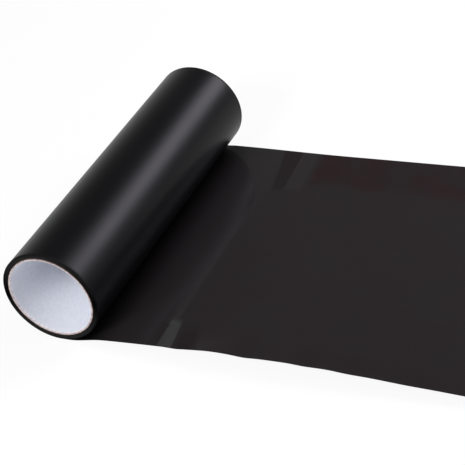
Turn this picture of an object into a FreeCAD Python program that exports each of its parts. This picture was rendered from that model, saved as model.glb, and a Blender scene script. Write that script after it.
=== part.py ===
"""Roll of sign vinyl: a web of face film on a release liner, wound on a paper core and partly laid out.

The origin is the centre of the core's bore. +Y runs along the core, +X is the way the web is laid out,
and +Z is up. All sizes are in millimetres. The film's face is outside on the roll and underneath on the
laid web, so the liner is on top there.
"""
import FreeCAD, Part
import os

import Sketcher
from FreeCAD import Vector

# ---------------------------------------------------------------- driving dimensions

SIZES = [
    ("roll_width", 305, "width of the web and length of the core"),
    ("core_bore", 76.2, "inside diameter of the paper core"),
    ("lining_ply", 0.5, "white paper ply that lines the bore"),
    ("board_ply", 0.4, "each of the two board plies in the core's wall"),
    ("wrap_ply", 0.2, "smooth paper ply round the outside of the core"),
    ("film_thickness", 0.09, "vinyl face film with its adhesive coat"),
    ("liner_thickness", 0.13, "release liner on the adhesive"),
    ("wrap_gap", 0.015, "air between one turn of the web and the next"),
    ("wound_turns", 14, "whole turns of web inside the outer turn"),
    ("turn_clearance", 0.18, "running gap between the wound turns and the loose outer turn"),
    ("tape_thickness", 0.2, "double-sided tape that starts the web on the core"),
    ("tape_width", 19, "width of that tape, measured round the core"),
    ("tape_inset", 10, "distance from each end of the core to the tape"),
    ("tape_adhesive", 0.13, "soft adhesive on each face of the tape, left open"),
    ("tail_length", 12, "flat web from the roll's lowest line to the bow"),
    ("bow_span", 390, "length of the laid web that bows up along its front edge"),
    ("bow_rise", 11.5, "height of that bow at its middle"),
    ("bow_fade", 0.1, "share of the bow that is left at the back edge"),
    ("lead_length", 60, "flat lead at the free end, where the liner peels first"),
    ("peel_gap", 0.02, "air between the lead's liner and the film under it"),
]

SHEET = "Sizes"
doc = FreeCAD.newDocument("sign_vinyl_roll")
sheet = doc.addObject("Spreadsheet::Sheet", SHEET)
for row, (alias, size, meaning) in enumerate(SIZES, start=1):
    sheet.set(f"A{row}", meaning)
    sheet.set(f"B{row}", str(size))
    sheet.setAlias(f"B{row}", alias)
doc.recompute()


def cell(alias):
    """A driving dimension, as it is written in an expression."""
    return f"{SHEET}.{alias}"


def worked_out(expression):
    """What an expression on the sheet's cells comes to."""
    return float(sheet.evalExpression(expression))


# ---------------------------------------------------------------- sizes that follow from the driving ones
# Each is an expression on the sheet's cells. Radii are measured from the bore's axis.

HALF_WIDTH = f"({cell('roll_width')} / 2)"
BORE_RADIUS = f"({cell('core_bore')} / 2)"
LINING_RADIUS = f"({BORE_RADIUS} + {cell('lining_ply')})"
MIDDLE_RADIUS = f"({LINING_RADIUS} + {cell('board_ply')})"
BOARD_RADIUS = f"({MIDDLE_RADIUS} + {cell('board_ply')})"
CORE_RADIUS = f"({BOARD_RADIUS} + {cell('wrap_ply')})"
TAPE_INSIDE = f"({CORE_RADIUS} + {cell('tape_adhesive')})"
TAPE_OUTSIDE = f"({TAPE_INSIDE} + {cell('tape_thickness')})"
WEB = f"({cell('film_thickness')} + {cell('liner_thickness')})"
PITCH = f"({WEB} + {cell('wrap_gap')})"
FIRST_TURN_RADIUS = f"({TAPE_OUTSIDE} + {cell('tape_adhesive')})"
WOUND_RADIUS = f"({FIRST_TURN_RADIUS} + {cell('wound_turns')} * {PITCH} + {WEB})"
ROLL_RADIUS = f"({WOUND_RADIUS} + {cell('turn_clearance')} + {WEB} + {PITCH})"
TABLE = f"(0 - {ROLL_RADIUS})"
FILM_TOP = f"({TABLE} + {cell('film_thickness')})"
BOW_END = f"({cell('tail_length')} + {cell('bow_span')})"
BOW_MIDDLE = f"({cell('tail_length')} + {cell('bow_span')} / 2)"
BOW_RADIUS = f"({cell('bow_span')} ^ 2 / (8 * {cell('bow_rise')}) + {cell('bow_rise')} / 2)"

# ---------------------------------------------------------------- sketches

ROOT_POINT = (-1, 1)
FIRST_END, SECOND_END, CENTRE = range(1, 4)


def new_body(label):
    """A body for one sub-part."""
    return doc.addObject("PartDesign::Body", label)


def new_sketch(body, name, role, offset="0"):
    """A sketch on one of the body's own origin planes, moved off it by offset."""
    plane = next(feature for feature in body.Origin.OriginFeatures if feature.Role == role)
    sketch = body.newObject("Sketcher::SketchObject", f"{body.Name}_{name}")
    sketch.AttachmentSupport = (plane, "")
    sketch.MapMode = "FlatFace"
    sketch.setExpression("AttachmentOffset.Base.z", offset)
    return sketch


def bind(sketch, kind, elements, expression):
    """Adds a dimension to a sketch and ties it to an expression."""
    index = sketch.addConstraint(Sketcher.Constraint(kind, *elements, worked_out(expression)))
    sketch.setExpression(f"Constraints[{index}]", expression)


def hold_on_upright(sketch, point):
    """Holds a point of a sketch on its upright axis, which a constraint knows as -2."""
    sketch.addConstraint(Sketcher.Constraint("PointOnObject", *point, -2))


def locate(sketch, point, place):
    """Holds a point of a sketch at a place given as two expressions. "0" puts it on the upright axis."""
    across, up = place
    if across == "0":
        hold_on_upright(sketch, point)
    else:
        bind(sketch, "DistanceX", ROOT_POINT + point, across)
    bind(sketch, "DistanceY", ROOT_POINT + point, up)


def draw_outline(sketch, corners, arcs):
    """A closed outline through corners given as pairs of expressions. arcs says which sides are arcs, by the
    corner they leave: each is a place that the arc passes through. The other sides are straight."""
    places = [Vector(worked_out(across), worked_out(up), 0) for across, up in corners]
    sides = []
    for i, place in enumerate(places):
        after = places[(i + 1) % len(places)]
        if i in arcs:
            through = Vector(*[worked_out(part) for part in arcs[i]], 0)
            side = sketch.addGeometry(Part.Arc(place, through, after), False)
        else:
            side = sketch.addGeometry(Part.LineSegment(place, after), False)
        turned = sketch.getPoint(side, FIRST_END).distanceToPoint(place) > 1e-6
        ends = (SECOND_END, FIRST_END) if turned else (FIRST_END, SECOND_END)
        sides.append((side, *ends))
    for (side, _, end), (next_side, start, _) in zip(sides, sides[1:] + sides[:1]):
        sketch.addConstraint(Sketcher.Constraint("Coincident", side, end, next_side, start))
    for (side, start, _), corner in zip(sides, corners):
        locate(sketch, (side, start), corner)
    return [side for side, _, _ in sides]


# ---------------------------------------------------------------- paper core and its tape


def make_ply(label, inner, outer):
    """One ply of the core: a tube as long as the roll is wide."""
    body = new_body(label)
    sketch = new_sketch(body, "ring", "XZ_Plane")
    for radius in (inner, outer):
        circle = sketch.addGeometry(Part.Circle(Vector(), Vector(0, 0, 1), worked_out(radius)), False)
        sketch.addConstraint(Sketcher.Constraint("Coincident", circle, CENTRE, *ROOT_POINT))
        bind(sketch, "Radius", (circle,), radius)
    return padded(body, sketch)


def padded(body, sketch):
    """Pads a sketch to the roll's width, half of it to each side."""
    pad = body.newObject("PartDesign::Pad", f"{body.Name}_pad")
    pad.Profile = sketch
    pad.SideType = "Symmetric"
    pad.setExpression("Length", cell("roll_width"))
    return body


def make_start_tape(label):
    """The strip of tape under the start of the web, centred on the core's lowest line."""
    body = new_body(label)
    sketch = new_sketch(body, "section", "YZ_Plane")
    near = f"({cell('tape_inset')} - {HALF_WIDTH})"
    far = f"({HALF_WIDTH} - {cell('tape_inset')})"
    below, above = f"(0 - {TAPE_OUTSIDE})", f"(0 - {TAPE_INSIDE})"
    draw_outline(sketch, [(near, below), (far, below), (far, above), (near, above)], {})
    wrap = body.newObject("PartDesign::Revolution", f"{body.Name}_wrap")
    wrap.Profile = sketch
    wrap.ReferenceAxis = (sketch, ["H_Axis"])
    wrap.Midplane = True
    wrap.setExpression("Angle", f"180 * {cell('tape_width')} / (pi * {TAPE_INSIDE})")
    return body


# ---------------------------------------------------------------- wound web


def half_turn(radius, lift, side):
    """Half a turn on one side of the upright axis: +1 right, from the bottom up, or -1 left, from the top
    down. Its centre is lift above the bore's axis."""
    start = Vector(0, 0, lift - side * radius)
    middle = Vector(side * radius, 0, lift)
    end = Vector(0, 0, lift + side * radius)
    return Part.Arc(start, middle, end).toShape()


def make_wound_web(label):
    """The web that is still wound, as one strip. Its right halves are centred half a pitch above its left
    halves, so that each turn passes outside the one before it."""
    pitch, web, start = worked_out(PITCH), worked_out(WEB), worked_out(FIRST_TURN_RADIUS)
    inner_side, outer_side = [], []
    for turn in range(round(worked_out(cell("wound_turns")))):
        radius = start + turn * pitch
        for arcs, off in ((inner_side, 0), (outer_side, web)):
            arcs.append(half_turn(radius + off + pitch / 2, pitch / 2, 1))
            arcs.append(half_turn(radius + off + pitch, 0, -1))
    ends = []
    for arc, vertex in ((0, 0), (-1, -1)):
        ends.append(Part.makeLine(inner_side[arc].Vertexes[vertex].Point, outer_side[arc].Vertexes[vertex].Point))
    section = Part.Face(Part.Wire(Part.__sortEdges__(inner_side + outer_side + ends)))
    width = worked_out(cell("roll_width"))
    strip = doc.addObject("Part::Feature", label)
    strip.Shape = section.extrude(Vector(0, width, 0))
    strip.setExpression("Placement.Base.y", f"0 - {HALF_WIDTH}")
    return strip


# ---------------------------------------------------------------- outer turn


def make_outer_turn(label, outside, inside):
    """One layer of the outer turn, from one depth under the roll's surface to another. It starts at the
    bottom, goes up the right side and down the left, and runs out flat under its own start as the tail."""
    outer, inner = f"({ROLL_RADIUS} - {outside})", f"({ROLL_RADIUS} - {inside})"
    outer_right, inner_right = f"({outer} - {PITCH} / 2)", f"({inner} - {PITCH} / 2)"
    right_centre = f"({PITCH} / 2)"
    tail = cell("tail_length")
    corners = [
        ("0", f"{PITCH} - {outer}"),
        ("0", outer),
        ("0", f"0 - {outer}"),
        (tail, f"0 - {outer}"),
        (tail, f"0 - {inner}"),
        ("0", f"0 - {inner}"),
        ("0", inner),
        ("0", f"{PITCH} - {inner}"),
    ]
    arcs = {
        0: (outer_right, right_centre),
        1: (f"0 - {outer}", "0"),
        5: (f"0 - {inner}", "0"),
        6: (inner_right, right_centre),
    }
    body = new_body(label)
    sketch = new_sketch(body, "turn", "XZ_Plane")
    sides = draw_outline(sketch, corners, arcs)
    for arc in arcs:
        hold_on_upright(sketch, (sides[arc], CENTRE))
    return padded(body, sketch)


# ---------------------------------------------------------------- laid web


def draw_bow(body, name, offset, bottom, top, share):
    """A section across the laid web's bow, cut by a plane parallel to the roll's end. share scales the bow
    about its middle, as on a cone."""
    half_span = f"({share} * {cell('bow_span')} / 2)"
    rise = f"({share} * {cell('bow_rise')})"
    start, end = f"({BOW_MIDDLE} - {half_span})", f"({BOW_MIDDLE} + {half_span})"
    sketch = new_sketch(body, name, "XZ_Plane", offset)
    crests = {0: (BOW_MIDDLE, f"{bottom} + {rise}"), 2: (BOW_MIDDLE, f"{top} + {rise}")}
    sides = draw_outline(sketch, [(start, bottom), (end, bottom), (end, top), (start, top)], crests)
    for crest in crests:
        bind(sketch, "Radius", (sides[crest],), f"{share} * {BOW_RADIUS}")
    return sketch


def make_laid_layer(label, bottom, thickness):
    """One layer of the laid web. It bows up in a cone that is widest at the front edge and nearly gone at
    the back edge, and the two corners beside the cone lie flat."""
    body = new_body(label)
    top = f"({bottom} + {thickness})"
    bow = body.newObject("PartDesign::AdditiveLoft", f"{body.Name}_bow")
    bow.Profile = draw_bow(body, "front", HALF_WIDTH, bottom, top, "1")
    bow.Sections = [draw_bow(body, "back", f"0 - {HALF_WIDTH}", bottom, top, cell("bow_fade"))]
    bow.Ruled = True
    front, back = f"(0 - {HALF_WIDTH})", HALF_WIDTH
    corners = new_sketch(body, "corners", "XY_Plane", bottom)
    for edge, sign in ((cell("tail_length"), "-"), (BOW_END, "+")):
        bow_side = f"({BOW_MIDDLE} {sign} {cell('bow_fade')} * {cell('bow_span')} / 2)"
        draw_outline(corners, [(edge, front), (edge, back), (bow_side, back)], {})
    flat = body.newObject("PartDesign::Pad", f"{body.Name}_flat")
    flat.Profile = corners
    flat.setExpression("Length", thickness)
    return body


def make_lead_layer(label, thickness, bottom):
    """One layer of the flat lead at the web's free end."""
    box = doc.addObject("Part::Box", label)
    box.setExpression("Length", cell("lead_length"))
    box.setExpression("Width", cell("roll_width"))
    box.setExpression("Height", thickness)
    box.setExpression("Placement.Base.x", BOW_END)
    box.setExpression("Placement.Base.y", f"0 - {HALF_WIDTH}")
    box.setExpression("Placement.Base.z", bottom)
    return box


# ---------------------------------------------------------------- the assembly

sub_parts = [
    make_ply("core_lining_ply", BORE_RADIUS, LINING_RADIUS),
    make_ply("core_inner_board", LINING_RADIUS, MIDDLE_RADIUS),
    make_ply("core_outer_board", MIDDLE_RADIUS, BOARD_RADIUS),
    make_ply("core_wrap_ply", BOARD_RADIUS, CORE_RADIUS),
    make_start_tape("start_tape"),
    make_wound_web("wound_web"),
    make_outer_turn("outer_turn_film", "0", cell("film_thickness")),
    make_outer_turn("outer_turn_liner", cell("film_thickness"), WEB),
    make_laid_layer("laid_face_film", TABLE, cell("film_thickness")),
    make_laid_layer("laid_liner", FILM_TOP, cell("liner_thickness")),
    make_lead_layer("lead_face_film", cell("film_thickness"), TABLE),
    make_lead_layer("lead_liner", cell("liner_thickness"), f"{FILM_TOP} + {cell('peel_gap')}"),
]
doc.recompute()

for item in doc.Objects:
    if "Invalid" in item.State or "Error" in item.State:
        raise RuntimeError(f"{item.Label} failed to recompute: {item.State}")
for sub_part in sub_parts:
    if sub_part.Shape.isNull() or not sub_part.Shape.isValid():
        raise RuntimeError(f"{sub_part.Label} has no valid shape")

os.makedirs("parts", exist_ok=True)
for sub_part in sub_parts:
    sub_part.Shape.exportStep(f"parts/{sub_part.Label}.step")
    print(f"{sub_part.Label}: {sub_part.Shape.Volume:.1f} mm3")
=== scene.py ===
import math

import bmesh
import bpy
from mathutils import Matrix, Quaternion, Vector


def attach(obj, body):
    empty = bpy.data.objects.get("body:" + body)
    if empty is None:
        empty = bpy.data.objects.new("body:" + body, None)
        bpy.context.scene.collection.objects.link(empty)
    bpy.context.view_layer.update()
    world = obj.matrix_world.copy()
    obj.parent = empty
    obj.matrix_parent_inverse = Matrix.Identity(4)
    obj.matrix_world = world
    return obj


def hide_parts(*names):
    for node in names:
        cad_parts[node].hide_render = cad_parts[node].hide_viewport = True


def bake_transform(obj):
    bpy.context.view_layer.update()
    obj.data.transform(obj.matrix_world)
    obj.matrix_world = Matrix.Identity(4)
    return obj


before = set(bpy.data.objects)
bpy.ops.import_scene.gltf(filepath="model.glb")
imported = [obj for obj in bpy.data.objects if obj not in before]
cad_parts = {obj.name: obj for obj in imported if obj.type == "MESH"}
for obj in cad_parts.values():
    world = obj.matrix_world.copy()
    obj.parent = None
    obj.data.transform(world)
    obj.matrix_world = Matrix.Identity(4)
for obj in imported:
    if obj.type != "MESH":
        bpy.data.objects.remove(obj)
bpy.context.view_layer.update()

# A roll of black sign vinyl with its web laid out on a table: satin film outside on the roll, and the
# gloss liner uppermost where the web lies flat. Lengths are in metres unless a note says millimetres,
# and the origin is the middle of the core's bore.

# sizes that the pieces share
web = {
    "width": 0.305,
    "filmThickness": 0.00009,
    "linerThickness": 0.00013,
    "pitch": 0.000235,  # the web and the air to the next turn
    "rollRadius": 0.044205,
    "woundRadius": 0.043565,  # the turns inside the loose outer one
    "woundTurns": 14,
    "freeEnd": 0.462,
    "peelLine": 0.402,
}
halfWidth = web["width"] / 2
widthInMm = web["width"] * 1000
turnLength = 2 * math.pi * web["rollRadius"]
woundLength = 2 * math.pi * web["woundRadius"] * web["woundTurns"]
tableHeight = -web["rollRadius"]


class Wire:
    # a node's output that can stand in a Python sum
    def __init__(self, paint, socket):
        self.paint = paint
        self.socket = socket

    def maths(self, operation, *values):
        return self.paint.node("ShaderNodeMath", {"operation": operation}, dict(enumerate(values)))

    def __add__(self, other):
        return self.maths("ADD", self, other)

    def __radd__(self, other):
        return self.maths("ADD", other, self)

    def __sub__(self, other):
        return self.maths("SUBTRACT", self, other)

    def __rsub__(self, other):
        return self.maths("SUBTRACT", other, self)

    def __mul__(self, other):
        return self.maths("MULTIPLY", self, other)

    def __rmul__(self, other):
        return self.maths("MULTIPLY", other, self)

    def distance(self, other):
        return self.maths("ABSOLUTE", self - other)

    def rises(self, low, high):
        # 0 below low and 1 above high, with a soft step between them
        settings = {"interpolation_type": "SMOOTHSTEP"}
        sockets = {"Value": self, "From Min": low, "From Max": high}
        return self.paint.node("ShaderNodeMapRange", settings, sockets)


class Paint:
    # the nodes of one material or world
    def __init__(self, owner):
        owner.use_nodes = True
        self.tree = owner.node_tree
        self.tree.nodes.clear()

    def node(self, kind, settings=None, sockets=None, output=0):
        made = self.tree.nodes.new(kind)
        for name, value in (settings or {}).items():
            setattr(made, name, value)
        for name, value in (sockets or {}).items():
            if isinstance(value, Wire):
                self.tree.links.new(value.socket, made.inputs[name])
            else:
                made.inputs[name].default_value = value
        return Wire(self, made.outputs[output]) if made.outputs else None

    def coordinates(self, name):
        return self.node("ShaderNodeTexCoord", output=name)

    def split(self, vector):
        first = self.node("ShaderNodeSeparateXYZ", None, {0: vector})
        return [Wire(self, socket) for socket in first.socket.node.outputs]

    def flatPlace(self):
        # where a point lies on the web before it is rolled: along, across
        return self.node("ShaderNodeAttribute", {"attribute_name": "flatPlace"}, output="Vector")

    def stretched(self, vector, scale):
        return self.node("ShaderNodeMapping", None, {"Vector": vector, "Scale": scale})

    def noise(self, vector, scale, detail):
        sockets = {"Vector": vector, "Scale": scale, "Detail": detail}
        return self.node("ShaderNodeTexNoise", None, sockets)

    def mixed(self, share, first, second):
        return self.node("ShaderNodeMix", {"data_type": "RGBA"}, {0: share, 6: first, 7: second}, 2)

    def bump(self, height, distance, strength):
        sockets = {"Height": height, "Distance": distance, "Strength": strength}
        return self.node("ShaderNodeBump", None, sockets)

    def surface(self, sockets):
        shader = self.node("ShaderNodeBsdfPrincipled", None, sockets)
        self.node("ShaderNodeOutputMaterial", None, {"Surface": shader})


def newMaterial(name):
    material = bpy.data.materials.new(name)
    return material, Paint(material)


def finishPiece(name, bm, sharpAngle=40):
    data = bpy.data.meshes.new(name)
    bm.to_mesh(data)
    bm.free()
    data.shade_smooth()
    data.set_sharp_from_angle(angle=math.radians(sharpAngle))
    piece = bpy.data.objects.new(name, data)
    bpy.context.collection.objects.link(piece)
    return piece


cameraPlan = {
    "place": (0.61397, -0.89719, 0.68322),
    "target": (0.0854, 0.0168, -0.0442),
    "roll": -11.62,  # degrees about the line of sight
    "lens": 109.67,  # millimetres, and the sensor's width too
    "sensor": 36.0,
}


def makeCamera(plan):
    data = bpy.data.cameras.new("camera")
    data.lens = plan["lens"]
    data.sensor_width = plan["sensor"]
    camera = bpy.data.objects.new("camera", data)
    bpy.context.collection.objects.link(camera)
    place = Vector(plan["place"])
    sight = Vector(plan["target"]) - place
    turn = sight.to_track_quat("-Z", "Y") @ Quaternion((0, 0, 1), math.radians(plan["roll"]))
    camera.matrix_world = Matrix.Translation(place) @ turn.to_matrix().to_4x4()
    bpy.context.scene.camera = camera


makeCamera(cameraPlan)
print("camera in place")

studio = {
    "floorSize": 8.0,
    "floorColour": (0.86, 0.86, 0.86, 1),
    "floorWhite": 0.88,  # share of the floor that shows plain white, so that shadows stay faint
    "floorGap": 0.00005,  # how far the floor is under the web
    "worldLevel": 0.26,  # what the sky adds to the light on the object
    "zenith": 0.28,  # how bright the sky shows overhead, where it shows white at the horizon
    "skyTop": 0.56,  # sine of the height where the sky is as dark as overhead
    "dim": 0.13,  # how much darker the sky is in a reflection
    "darkSide": 0.52,  # and how much darker still on the +X side
    "sideFrom": 0.2,  # that side begins and is at its darkest at these shares of +X
    "sideTo": 0.7,
    "overhead": 3.0,  # a soft light straight above, in reflections alone
    "overheadFrom": 0.91,  # sines of the heights where it begins and is at its full strength
    "overheadTo": 0.985,
}
# "along" is the way that a lamp's long side points, and the sizes are that side and the short one
keyLamp = {
    "place": (0.78, 1.13, 0.78),
    "along": (-0.75, 0.64, -0.19),
    "size": (1.25, 0.50),
    "power": 21.5,
    "colour": (0.94, 0.90, 1.0),
}
nearLamp = {
    "place": (0.88, 0.72, 0.76),
    "along": (-0.645, 0, 0.765),
    "size": (1.35, 0.30),
    "power": 5.0,
    "colour": (0.94, 0.92, 1.0),
}
fillLamp = {
    "place": (-0.20, -1.42, 0.92),
    "along": (1, 0, 0),
    "size": (0.6, 0.6),
    "power": 27.0,
    "colour": (1, 1, 1),
}


def shownRays(paint):
    # 1 for the rays that show the background: to the camera, in a reflection, and through a clear piece
    path = paint.node("ShaderNodeLightPath", output="Is Camera Ray")
    outputs = path.socket.node.outputs
    shown = path + Wire(paint, outputs["Is Glossy Ray"]) + Wire(paint, outputs["Is Transmission Ray"])
    return shown.maths("MINIMUM", shown, 1.0)


def makeWorld(plan):
    world = bpy.data.worlds.new("studio")
    bpy.context.scene.world = world
    paint = Paint(world)
    toSide, _, height = paint.split(paint.coordinates("Generated"))
    reflected = paint.node("ShaderNodeLightPath", output="Is Glossy Ray")
    side = toSide.rises(plan["sideFrom"], plan["sideTo"]) * plan["darkSide"]
    overhead = height.rises(plan["overheadFrom"], plan["overheadTo"]) * plan["overhead"]
    sky = 1.0 - height.rises(0.0, plan["skyTop"]) * (1.0 - plan["zenith"])
    sky = sky * (1.0 - reflected * (side + plan["dim"])) + reflected * overhead
    strength = plan["worldLevel"] + shownRays(paint) * (sky - plan["worldLevel"])
    light = paint.node("ShaderNodeBackground", None, {"Color": (1, 1, 1, 1), "Strength": strength})
    paint.node("ShaderNodeOutputWorld", None, {"Surface": light})


def makeFloor(plan):
    bm = bmesh.new()
    bmesh.ops.create_grid(bm, x_segments=1, y_segments=1, size=plan["floorSize"] / 2)
    bmesh.ops.translate(bm, verts=bm.verts, vec=(0, 0, tableHeight - plan["floorGap"]))
    floor = finishPiece("floor", bm)
    material, paint = newMaterial("floor")
    pale = paint.node("ShaderNodeBsdfDiffuse", None, {"Color": plan["floorColour"]})
    white = paint.node("ShaderNodeEmission", None, {"Color": (1, 1, 1, 1), "Strength": 1.0})
    share = shownRays(paint) * plan["floorWhite"]
    both = paint.node("ShaderNodeMixShader", None, {0: share, 1: pale, 2: white})
    paint.node("ShaderNodeOutputMaterial", None, {"Surface": both})
    floor.data.materials.append(material)


def makeLamp(name, plan):
    # a soft box that faces the middle of the roll
    data = bpy.data.lights.new(name, "AREA")
    data.shape = "RECTANGLE"
    data.size, data.size_y = plan["size"]
    data.energy = plan["power"]
    data.color = plan["colour"]
    lamp = bpy.data.objects.new(name, data)
    bpy.context.collection.objects.link(lamp)
    place = Vector(plan["place"])
    back = place.normalized()
    side = Vector(plan["along"])
    side = (side - back * side.dot(back)).normalized()
    turn = Matrix((side, back.cross(side), back)).transposed()
    lamp.matrix_world = Matrix.Translation(place) @ turn.to_4x4()


makeWorld(studio)
makeFloor(studio)
makeLamp("key", keyLamp)
makeLamp("near", nearLamp)
makeLamp("fill", fillLamp)
print("studio lit")

# in every finish, a noise is given by its scale and its detail
filmFinish = {
    "colour": (0.0012, 0.0012, 0.0017, 1),
    "roughness": 0.36,
    "ior": 1.20,
    "grain": (1400.0, 3.0),
    "grainDepth": 0.00002,
    "grainStrength": 0.15,
    "cloud": (18.0, 2.0),
    "cloudRoughness": 0.06,  # how much the clouds change the roughness
    "edge": (0.1495, 0.1523),  # the satin face turns dull from here to the cut
    "edgeRoughness": 0.35,
}


def paintFilm(plan):
    material, paint = newMaterial("satin film")
    place = paint.flatPlace()
    grain = paint.noise(place, *plan["grain"])
    cloud = (paint.noise(place, *plan["cloud"]) - 0.5) * plan["cloudRoughness"]
    edge = paint.split(place)[1].distance(0.0).rises(*plan["edge"]) * plan["edgeRoughness"]
    paint.surface({
        "Base Color": plan["colour"],
        "IOR": plan["ior"],
        "Roughness": plan["roughness"] + cloud + edge,
        "Normal": paint.bump(grain, plan["grainDepth"], plan["grainStrength"]),
    })
    return material


linerFinish = {
    "colour": (0.0122, 0.0110, 0.0113, 1),
    "shaded": (0.0012, 0.0011, 0.0012, 1),  # close under the roll, where the web is in its shade
    "shadeEnds": (0.017, 0.055),  # along the web from the roll's lowest line
    "warm": (0.0145, 0.0078, 0.0084, 1),  # the faint red that shows in places
    # the colour that the pale streaks mix in, two of them a painted highlight along the edge of the
    # roll's reflection in the web
    "paleAndPaintedHighlight": (0.034, 0.034, 0.034, 1),
    "filmRoughness": 0.42,
    "filmIor": 1.10,
    "cloud": (14.0, 3.0),
    "cloudRoughness": 0.1,
    "blotch": (26.0, 2.0),  # breaks the red up
    "blotchEnds": (0.35, 0.65),
    "blotchDepth": 0.6,
    "glossRoughness": 0.05,
    "glossIor": 1.17,
    "leadAlpha": 0.72,  # a peeled liner lets some light through
}
# soft marks on the laid web, as long streaks that fade out towards "to": "half" is half the width at
# each end, "soft" is how soft the sides are, and "fade" is how long the fading is
# pale streaks in the liner's colour: the second and third are a painted highlight along the edge of the
# roll's reflection in the web, and the others are lighter patches
paleStreaksAndPaintedHighlight = [
    {"from": (0.0978, -0.153), "to": (0.0930, -0.112), "half": (0.0066, 0.0048),
     "soft": 0.0012, "fade": 0.010, "strength": 0.72},
    # these two are a painted highlight along the edge of the roll's reflection
    {"from": (0.0895, -0.122), "to": (0.0880, 0.075), "half": (0.0045, 0.0030),
     "soft": 0.0025, "fade": 0.030, "strength": 0.22},
    {"from": (0.0905, -0.122), "to": (0.0900, 0.045), "half": (0.0008, 0.0008),
     "soft": 0.0008, "fade": 0.030, "strength": 0.16},
    {"from": (0.1110, 0.153), "to": (0.1160, 0.084), "half": (0.0077, 0.0086),
     "soft": 0.0016, "fade": 0.010, "strength": 0.13},
    {"from": (0.0620, 0.153), "to": (0.0920, 0.060), "half": (0.0225, 0.0050),
     "soft": 0.0030, "fade": 0.040, "strength": 0.10},
]
dullStreaks = [
    {"from": (0.0938, 0.153), "to": (0.1020, 0.084), "half": (0.0094, 0.0052),
     "soft": 0.0012, "fade": 0.006, "strength": 0.95},
    {"from": (0.1160, -0.153), "to": (0.1105, -0.116), "half": (0.0100, 0.0050),
     "soft": 0.0040, "fade": 0.014, "strength": 0.8},
    {"from": (0.2900, 0.153), "to": (0.2900, 0.090), "half": (0.1660, 0.1630),
     "soft": 0.0030, "fade": 0.025, "strength": 0.55},
]
warmStreaks = [
    {"from": (0.2900, 0.153), "to": (0.2900, -0.154), "half": (0.1900, 0.1900),
     "soft": 0.0200, "fade": 0.001, "strength": 0.3},
    {"from": (0.2900, 0.153), "to": (0.2900, 0.088), "half": (0.1660, 0.1630),
     "soft": 0.0040, "fade": 0.025, "strength": 0.75},
    {"from": (0.0938, 0.153), "to": (0.1020, 0.105), "half": (0.0094, 0.0052),
     "soft": 0.0030, "fade": 0.020, "strength": 0.8},
]
streakStart = 0.001  # share of a streak's length in which it begins


def streak(along, across, plan):
    # 1 inside a streak and 0 outside it, times its strength
    (x0, y0), (x1, y1) = plan["from"], plan["to"]
    way = (across - y0) * (1 / (y1 - y0))
    off = along.distance(way * (x1 - x0) + x0)
    half = way * (plan["half"][1] - plan["half"][0]) + plan["half"][0]
    inside = 1.0 - (off - half).rises(-plan["soft"], plan["soft"])
    tip = plan["fade"] / abs(y1 - y0)
    return inside * way.rises(-streakStart, 0.0) * (1.0 - way.rises(1 - tip, 1.0)) * plan["strength"]


def marked(along, across, streaks):
    return sum((streak(along, across, plan) for plan in streaks), 0.0)


def paintLiner(name, plan, alpha):
    material, paint = newMaterial(name)
    place = paint.flatPlace()
    along, across, _ = paint.split(place)
    cloud = (paint.noise(place, *plan["cloud"]) - 0.5) * plan["cloudRoughness"]
    blotches = paint.noise(place, *plan["blotch"]).rises(*plan["blotchEnds"])
    blotches = blotches * plan["blotchDepth"] + (1 - plan["blotchDepth"])
    warm = marked(along, across, warmStreaks) * blotches
    colour = paint.mixed(warm, plan["colour"], plan["warm"])
    colour = paint.mixed(along.rises(*plan["shadeEnds"]), plan["shaded"], colour)
    paint.surface({
        # the pale streaks, two of them a painted highlight along the edge of the roll's reflection
        "Base Color": paint.mixed(marked(along, across, paleStreaksAndPaintedHighlight), colour, plan["paleAndPaintedHighlight"]),
        "IOR": plan["filmIor"],
        "Roughness": plan["filmRoughness"] + cloud,
        "Coat Weight": 1.0 - marked(along, across, dullStreaks),
        "Coat Roughness": plan["glossRoughness"],
        "Coat IOR": plan["glossIor"],
        "Alpha": alpha,
    })
    return material


# paper and board: the face and its darker fibres, the same two for the cut end, and how deep the
# mouth of the bore is rubbed pale
paperFinish = {
    "colour": (0.755, 0.775, 0.84, 1),
    "shade": (0.70, 0.72, 0.785, 1),
    "cut": (0.46, 0.42, 0.41, 1),
    "cutShade": (0.33, 0.28, 0.28, 1),
    "rubbed": (0.95, 0.85, 0.86, 1),
    "mouth": 0.0030,
    "roughness": 0.85,
    "fibres": (700.0, 6.0),
}
boardFinish = {
    "colour": (0.30, 0.235, 0.21, 1),
    "shade": (0.10, 0.065, 0.06, 1),
    "cut": (0.40, 0.36, 0.35, 1),
    "cutShade": (0.24, 0.18, 0.18, 1),
    "mouth": 0.0,
    "roughness": 0.9,
    "fibres": (1800.0, 6.0),
}
wrapFinish = {
    "colour": (0.30, 0.235, 0.21, 1),
    "shade": (0.10, 0.065, 0.06, 1),
    "cut": (0.26, 0.19, 0.17, 1),
    "cutShade": (0.10, 0.065, 0.06, 1),
    "mouth": 0.0,
    "roughness": 0.9,
    "fibres": (1800.0, 6.0),
}
tapeFinish = {
    "colour": (0.72, 0.70, 0.62, 1),
    "shade": (0.66, 0.64, 0.56, 1),
    "cut": (0.70, 0.68, 0.60, 1),
    "cutShade": (0.64, 0.62, 0.54, 1),
    "mouth": 0.0,
    "roughness": 0.6,
    "fibres": (900.0, 6.0),
}
# what paper, board and tape have in common: "Ends" are the two values that a soft step lies between
fibreGrain = {
    "stretch": (1, 0.35, 1),  # fibres lie along the bore
    "speckleEnds": (0.35, 0.7),
    "depth": 0.00006,
    "strength": 0.5,
    "rub": (420.0, 3.0),
    "rubbedEnds": (0.45, 0.6),
    "cutEnds": (0.4, 0.6),
    "cutDepth": (0.0001, 0.0003),  # in from the end of the core
}


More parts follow.
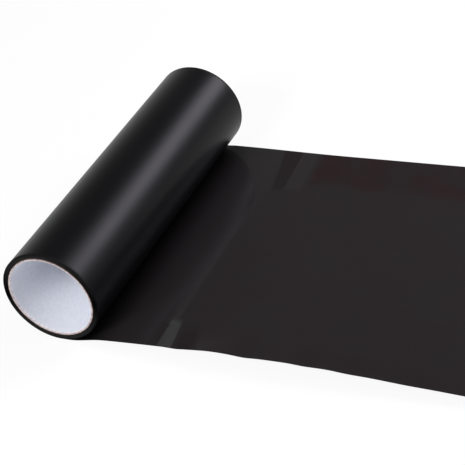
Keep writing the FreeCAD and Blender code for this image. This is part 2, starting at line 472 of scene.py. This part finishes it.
def paintPaper(name, plan):
    material, paint = newMaterial(name)
    place = paint.coordinates("Object")
    fibres = paint.noise(paint.stretched(place, fibreGrain["stretch"]), *plan["fibres"])
    rub = paint.noise(place, *fibreGrain["rub"])
    depth = halfWidth - paint.split(place)[1].distance(0.0)
    face = paint.mixed(fibres.rises(*fibreGrain["speckleEnds"]), plan["colour"], plan["shade"])
    if plan["mouth"]:
        edge = depth + (rub - 0.5) * plan["mouth"]
        worn = 1.0 - edge.rises(plan["mouth"] / 2, plan["mouth"])
        pale = paint.mixed(rub.rises(*fibreGrain["rubbedEnds"]), plan["rubbed"], plan["shade"])
        face = paint.mixed(worn, face, pale)
    cut = paint.mixed(rub.rises(*fibreGrain["cutEnds"]), plan["cut"], plan["cutShade"])
    paint.surface({
        "Base Color": paint.mixed(1.0 - depth.rises(*fibreGrain["cutDepth"]), face, cut),
        "Roughness": plan["roughness"],
        "Normal": paint.bump(fibres, fibreGrain["depth"], fibreGrain["strength"]),
    })
    return material


filmMaterial = paintFilm(filmFinish)
linerMaterial = paintLiner("gloss liner", linerFinish, 1.0)
leadMaterial = paintLiner("gloss liner by itself", linerFinish, linerFinish["leadAlpha"])
liningMaterial = paintPaper("lining paper", paperFinish)
boardMaterial = paintPaper("core board", boardFinish)
wrapMaterial = paintPaper("core wrap", wrapFinish)
tapeMaterial = paintPaper("tape", tapeFinish)


def dress(nodeName, material):
    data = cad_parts[nodeName].data
    data.materials.clear()
    data.materials.append(material)


dress("core_lining_ply", liningMaterial)
dress("core_inner_board", boardMaterial)
dress("core_outer_board", boardMaterial)
dress("core_wrap_ply", wrapMaterial)
dress("start_tape", tapeMaterial)
print("core finished")

# how high the front edge of the laid web stands, in millimetres, at points along it from the roll's
# lowest line
bow = {
    "rises": [(0, 0), (8, 0.1), (38, 4.6), (62, 6.3), (90, 7.9), (118, 9.3), (150, 10.6), (190, 11.3),
              (230, 11.2), (272, 9.6), (320, 7.0), (349, 5.6), (402, 2.8), (445, 0.6), (462, 0.3)],
    "fade": 2.2,  # how fast the bow falls away from the front edge
}
# small waves of that edge alone, which are added to it
flutter = {
    "rises": [(0, 0), (95, 0), (109, -0.7), (118, -0.1), (140, 0.95), (154, 0.5), (171, -0.85),
              (182, -0.3), (194, 0.05), (206, 0.2), (222, -0.5), (240, -0.1), (258, -0.65),
              (275, -0.3), (300, -0.45), (330, 0), (462, 0)],
    "reach": 0.014,  # metres in from the front edge
}
# a low ridge where the web leaves the roll
hump = {
    "rise": 1.6,
    "from": 6.0,
    "top": 32.0,
    "to": 150.0,
    "frontLoss": 0.8,  # share of it that is missing at the front edge
    "fade": 2,
}
# a slight fold across the web, steepest along its own line: "tilts" is how steeply it falls there, from
# the front edge back
ripple = {
    "at": 80.0,
    "reach": 35.0,
    "tilts": [(0, 0), (10, 0.024), (42, 0.010), (63, -0.010), (88, -0.028), (113, -0.034),
              (135, -0.043), (158, -0.050), (181, -0.046), (210, -0.026), (254, 0), (305, 0)],
}


def softStep(value, low, high):
    t = min(max((value - low) / (high - low), 0), 1)
    return t * t * (3 - 2 * t)


def alongCurve(points, x):
    # a smooth curve through points, without overshoot
    for i in range(len(points) - 1):
        if x <= points[i + 1][0]:
            break
    (x0, y0), (x1, y1) = points[i], points[i + 1]

    def tangent(j):
        if j in (0, len(points) - 1):
            return 0.0
        left = (points[j][1] - points[j - 1][1]) / (points[j][0] - points[j - 1][0])
        right = (points[j + 1][1] - points[j][1]) / (points[j + 1][0] - points[j][0])
        return 0.0 if left * right <= 0 else 2 * left * right / (left + right)

    width = x1 - x0
    t = min(max((x - x0) / width, 0), 1)
    a, b = tangent(i) * width, tangent(i + 1) * width
    return y0 + a * t + (3 * (y1 - y0) - 2 * a - b) * t**2 + (a + b - 2 * (y1 - y0)) * t**3


def liftAt(x, y):
    # how far the laid web stands off the table
    along = x * 1000
    inward = y + halfWidth
    across = min(max(inward / web["width"], 0), 1)  # 0 at the front edge, 1 at the back
    front = alongCurve(bow["rises"], along) * (1 - across) ** bow["fade"]
    front += alongCurve(flutter["rises"], along) * math.exp(-((inward / flutter["reach"]) ** 2))
    ridge = hump["rise"] * softStep(along, hump["from"], hump["top"])
    ridge *= 1 - softStep(along, hump["top"], hump["to"])
    ridge *= 1 - hump["frontLoss"] * (1 - across) ** hump["fade"]
    off = along - ripple["at"]
    tilt = alongCurve(ripple["tilts"], across * widthInMm)
    fold = -tilt * off * math.exp(-((off / ripple["reach"]) ** 2))
    return max(front + ridge + fold, 0) / 1000


def woundPlace(arc, radius):
    # a point of the wound web: arc is the angle wound back from the bottom, up the left side first, and
    # each turn starts one pitch further in
    turns, angle = divmod(arc, 2 * math.pi)
    radius -= turns * web["pitch"]
    lift = 0.0
    if angle > math.pi:
        radius -= web["pitch"] / 2
        lift = web["pitch"] / 2
    return -radius * math.sin(angle), lift - radius * math.cos(angle)


def webGrid(start, end, steps, rows):
    # a flat strip of web with its arc length as x
    bm = bmesh.new()
    bmesh.ops.create_grid(bm, x_segments=steps, y_segments=rows, size=0.5)
    bmesh.ops.scale(bm, verts=bm.verts, vec=(end - start, web["width"], 1))
    bmesh.ops.translate(bm, verts=bm.verts, vec=((start + end) / 2, 0, 0))
    flatPlace = bm.verts.layers.float_vector.new("flatPlace")
    for vert in bm.verts:
        vert[flatPlace] = vert.co
    return bm


def inOrder(elements, place):
    # sorts faces or edges by where they lie
    for index, element in enumerate(sorted(elements, key=place)):
        element.index = index
    elements.sort()


def thicken(bm, thickness):
    # gives the strip its thickness on the side away from the roll's surface; solidify makes the rim in
    # another order each time, so that is set right
    bmesh.ops.solidify(bm, geom=bm.faces[:], thickness=thickness)
    bmesh.ops.recalc_face_normals(bm, faces=bm.faces)
    inOrder(bm.faces, lambda face: face.calc_center_median()[:])
    inOrder(bm.edges, lambda edge: (edge.verts[0].co + edge.verts[1].co)[:])


def laidPiece(name, start, end, plan, outside, thickness, material):
    # rolls the part of a strip with x below 0 into the outer turn and lays the rest on the table;
    # outside is how deep its outer face is under the roll's surface
    bm = webGrid(start, end, plan["steps"], plan["rows"])
    for vert in bm.verts:
        x, y = vert.co.x, vert.co.y
        if x < 0:
            arc = -x / web["rollRadius"]
            vert.co.x, vert.co.z = woundPlace(arc, web["rollRadius"] - outside)
        else:
            vert.co.z = outside - web["rollRadius"] + liftAt(x, y)
    thicken(bm, thickness)
    piece = finishPiece(name, bm)
    piece.data.materials.append(material)
    return piece


# the face film of the outer turn, the laid web and the lead is one piece
faceFilmPlan = {"steps": 370, "rows": 60}
faceFilm = laidPiece("faceFilm", -turnLength, web["freeEnd"], faceFilmPlan,
                     0.0, web["filmThickness"], filmMaterial)
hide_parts("outer_turn_film", "laid_face_film", "lead_face_film")
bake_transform(faceFilm)

# the liner of the outer turn and the laid web, up to the line where it peels
releaseLinerPlan = {"steps": 340, "rows": 60}
releaseLiner = laidPiece("releaseLiner", -turnLength, web["peelLine"], releaseLinerPlan,
                         web["filmThickness"], web["linerThickness"], linerMaterial)
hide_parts("outer_turn_liner", "laid_liner")
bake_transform(releaseLiner)

# the liner's lead, past that line
linerLeadPlan = {"steps": 60, "rows": 60, "bend": 0.014}  # bend is the first stretch, over which a peeled liner bends
linerLead = laidPiece("linerLead", web["peelLine"], web["freeEnd"], linerLeadPlan,
                      web["filmThickness"], web["linerThickness"], leadMaterial)
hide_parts("lead_liner")
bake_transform(linerLead)
print("web laid")

# the turns still wound, each a little to one side of the one before
woundPlan = {
    "stepsPerTurn": 64,
    "weave": 0.00018,
    "waves": [(0.6, 0.43, 1.1), (0.4, 1.37, 0.0)],  # share of the weave, waves per radian, and shift
}


def windTurns(name, plan, inset, thickness, material):
    # inset is how deep this layer's outer face is under the surface of the wound turns
    bm = webGrid(0, woundLength, plan["stepsPerTurn"] * web["woundTurns"], 1)
    for vert in bm.verts:
        arc = vert.co.x / web["woundRadius"]
        vert.co.x, vert.co.z = woundPlace(arc, web["woundRadius"] - inset)
        sway = sum(share * math.sin(rate * arc + shift) for share, rate, shift in plan["waves"])
        vert.co.y += plan["weave"] * sway
    thicken(bm, thickness)
    piece = finishPiece(name, bm)
    piece.data.materials.append(material)
    return piece


for name, inset, thickness, material, slot in (
    ("woundFilm", 0.0, web["filmThickness"], filmMaterial, "face_film"),
    ("woundLiner", web["filmThickness"], web["linerThickness"], linerMaterial, "liner"),
):
    turns = windTurns(name, woundPlan, inset, thickness, material)
    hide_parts("wound_web")
    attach(turns, "roll")
print("turns wound")

bpy.context.scene.view_settings.view_transform = "Standard"
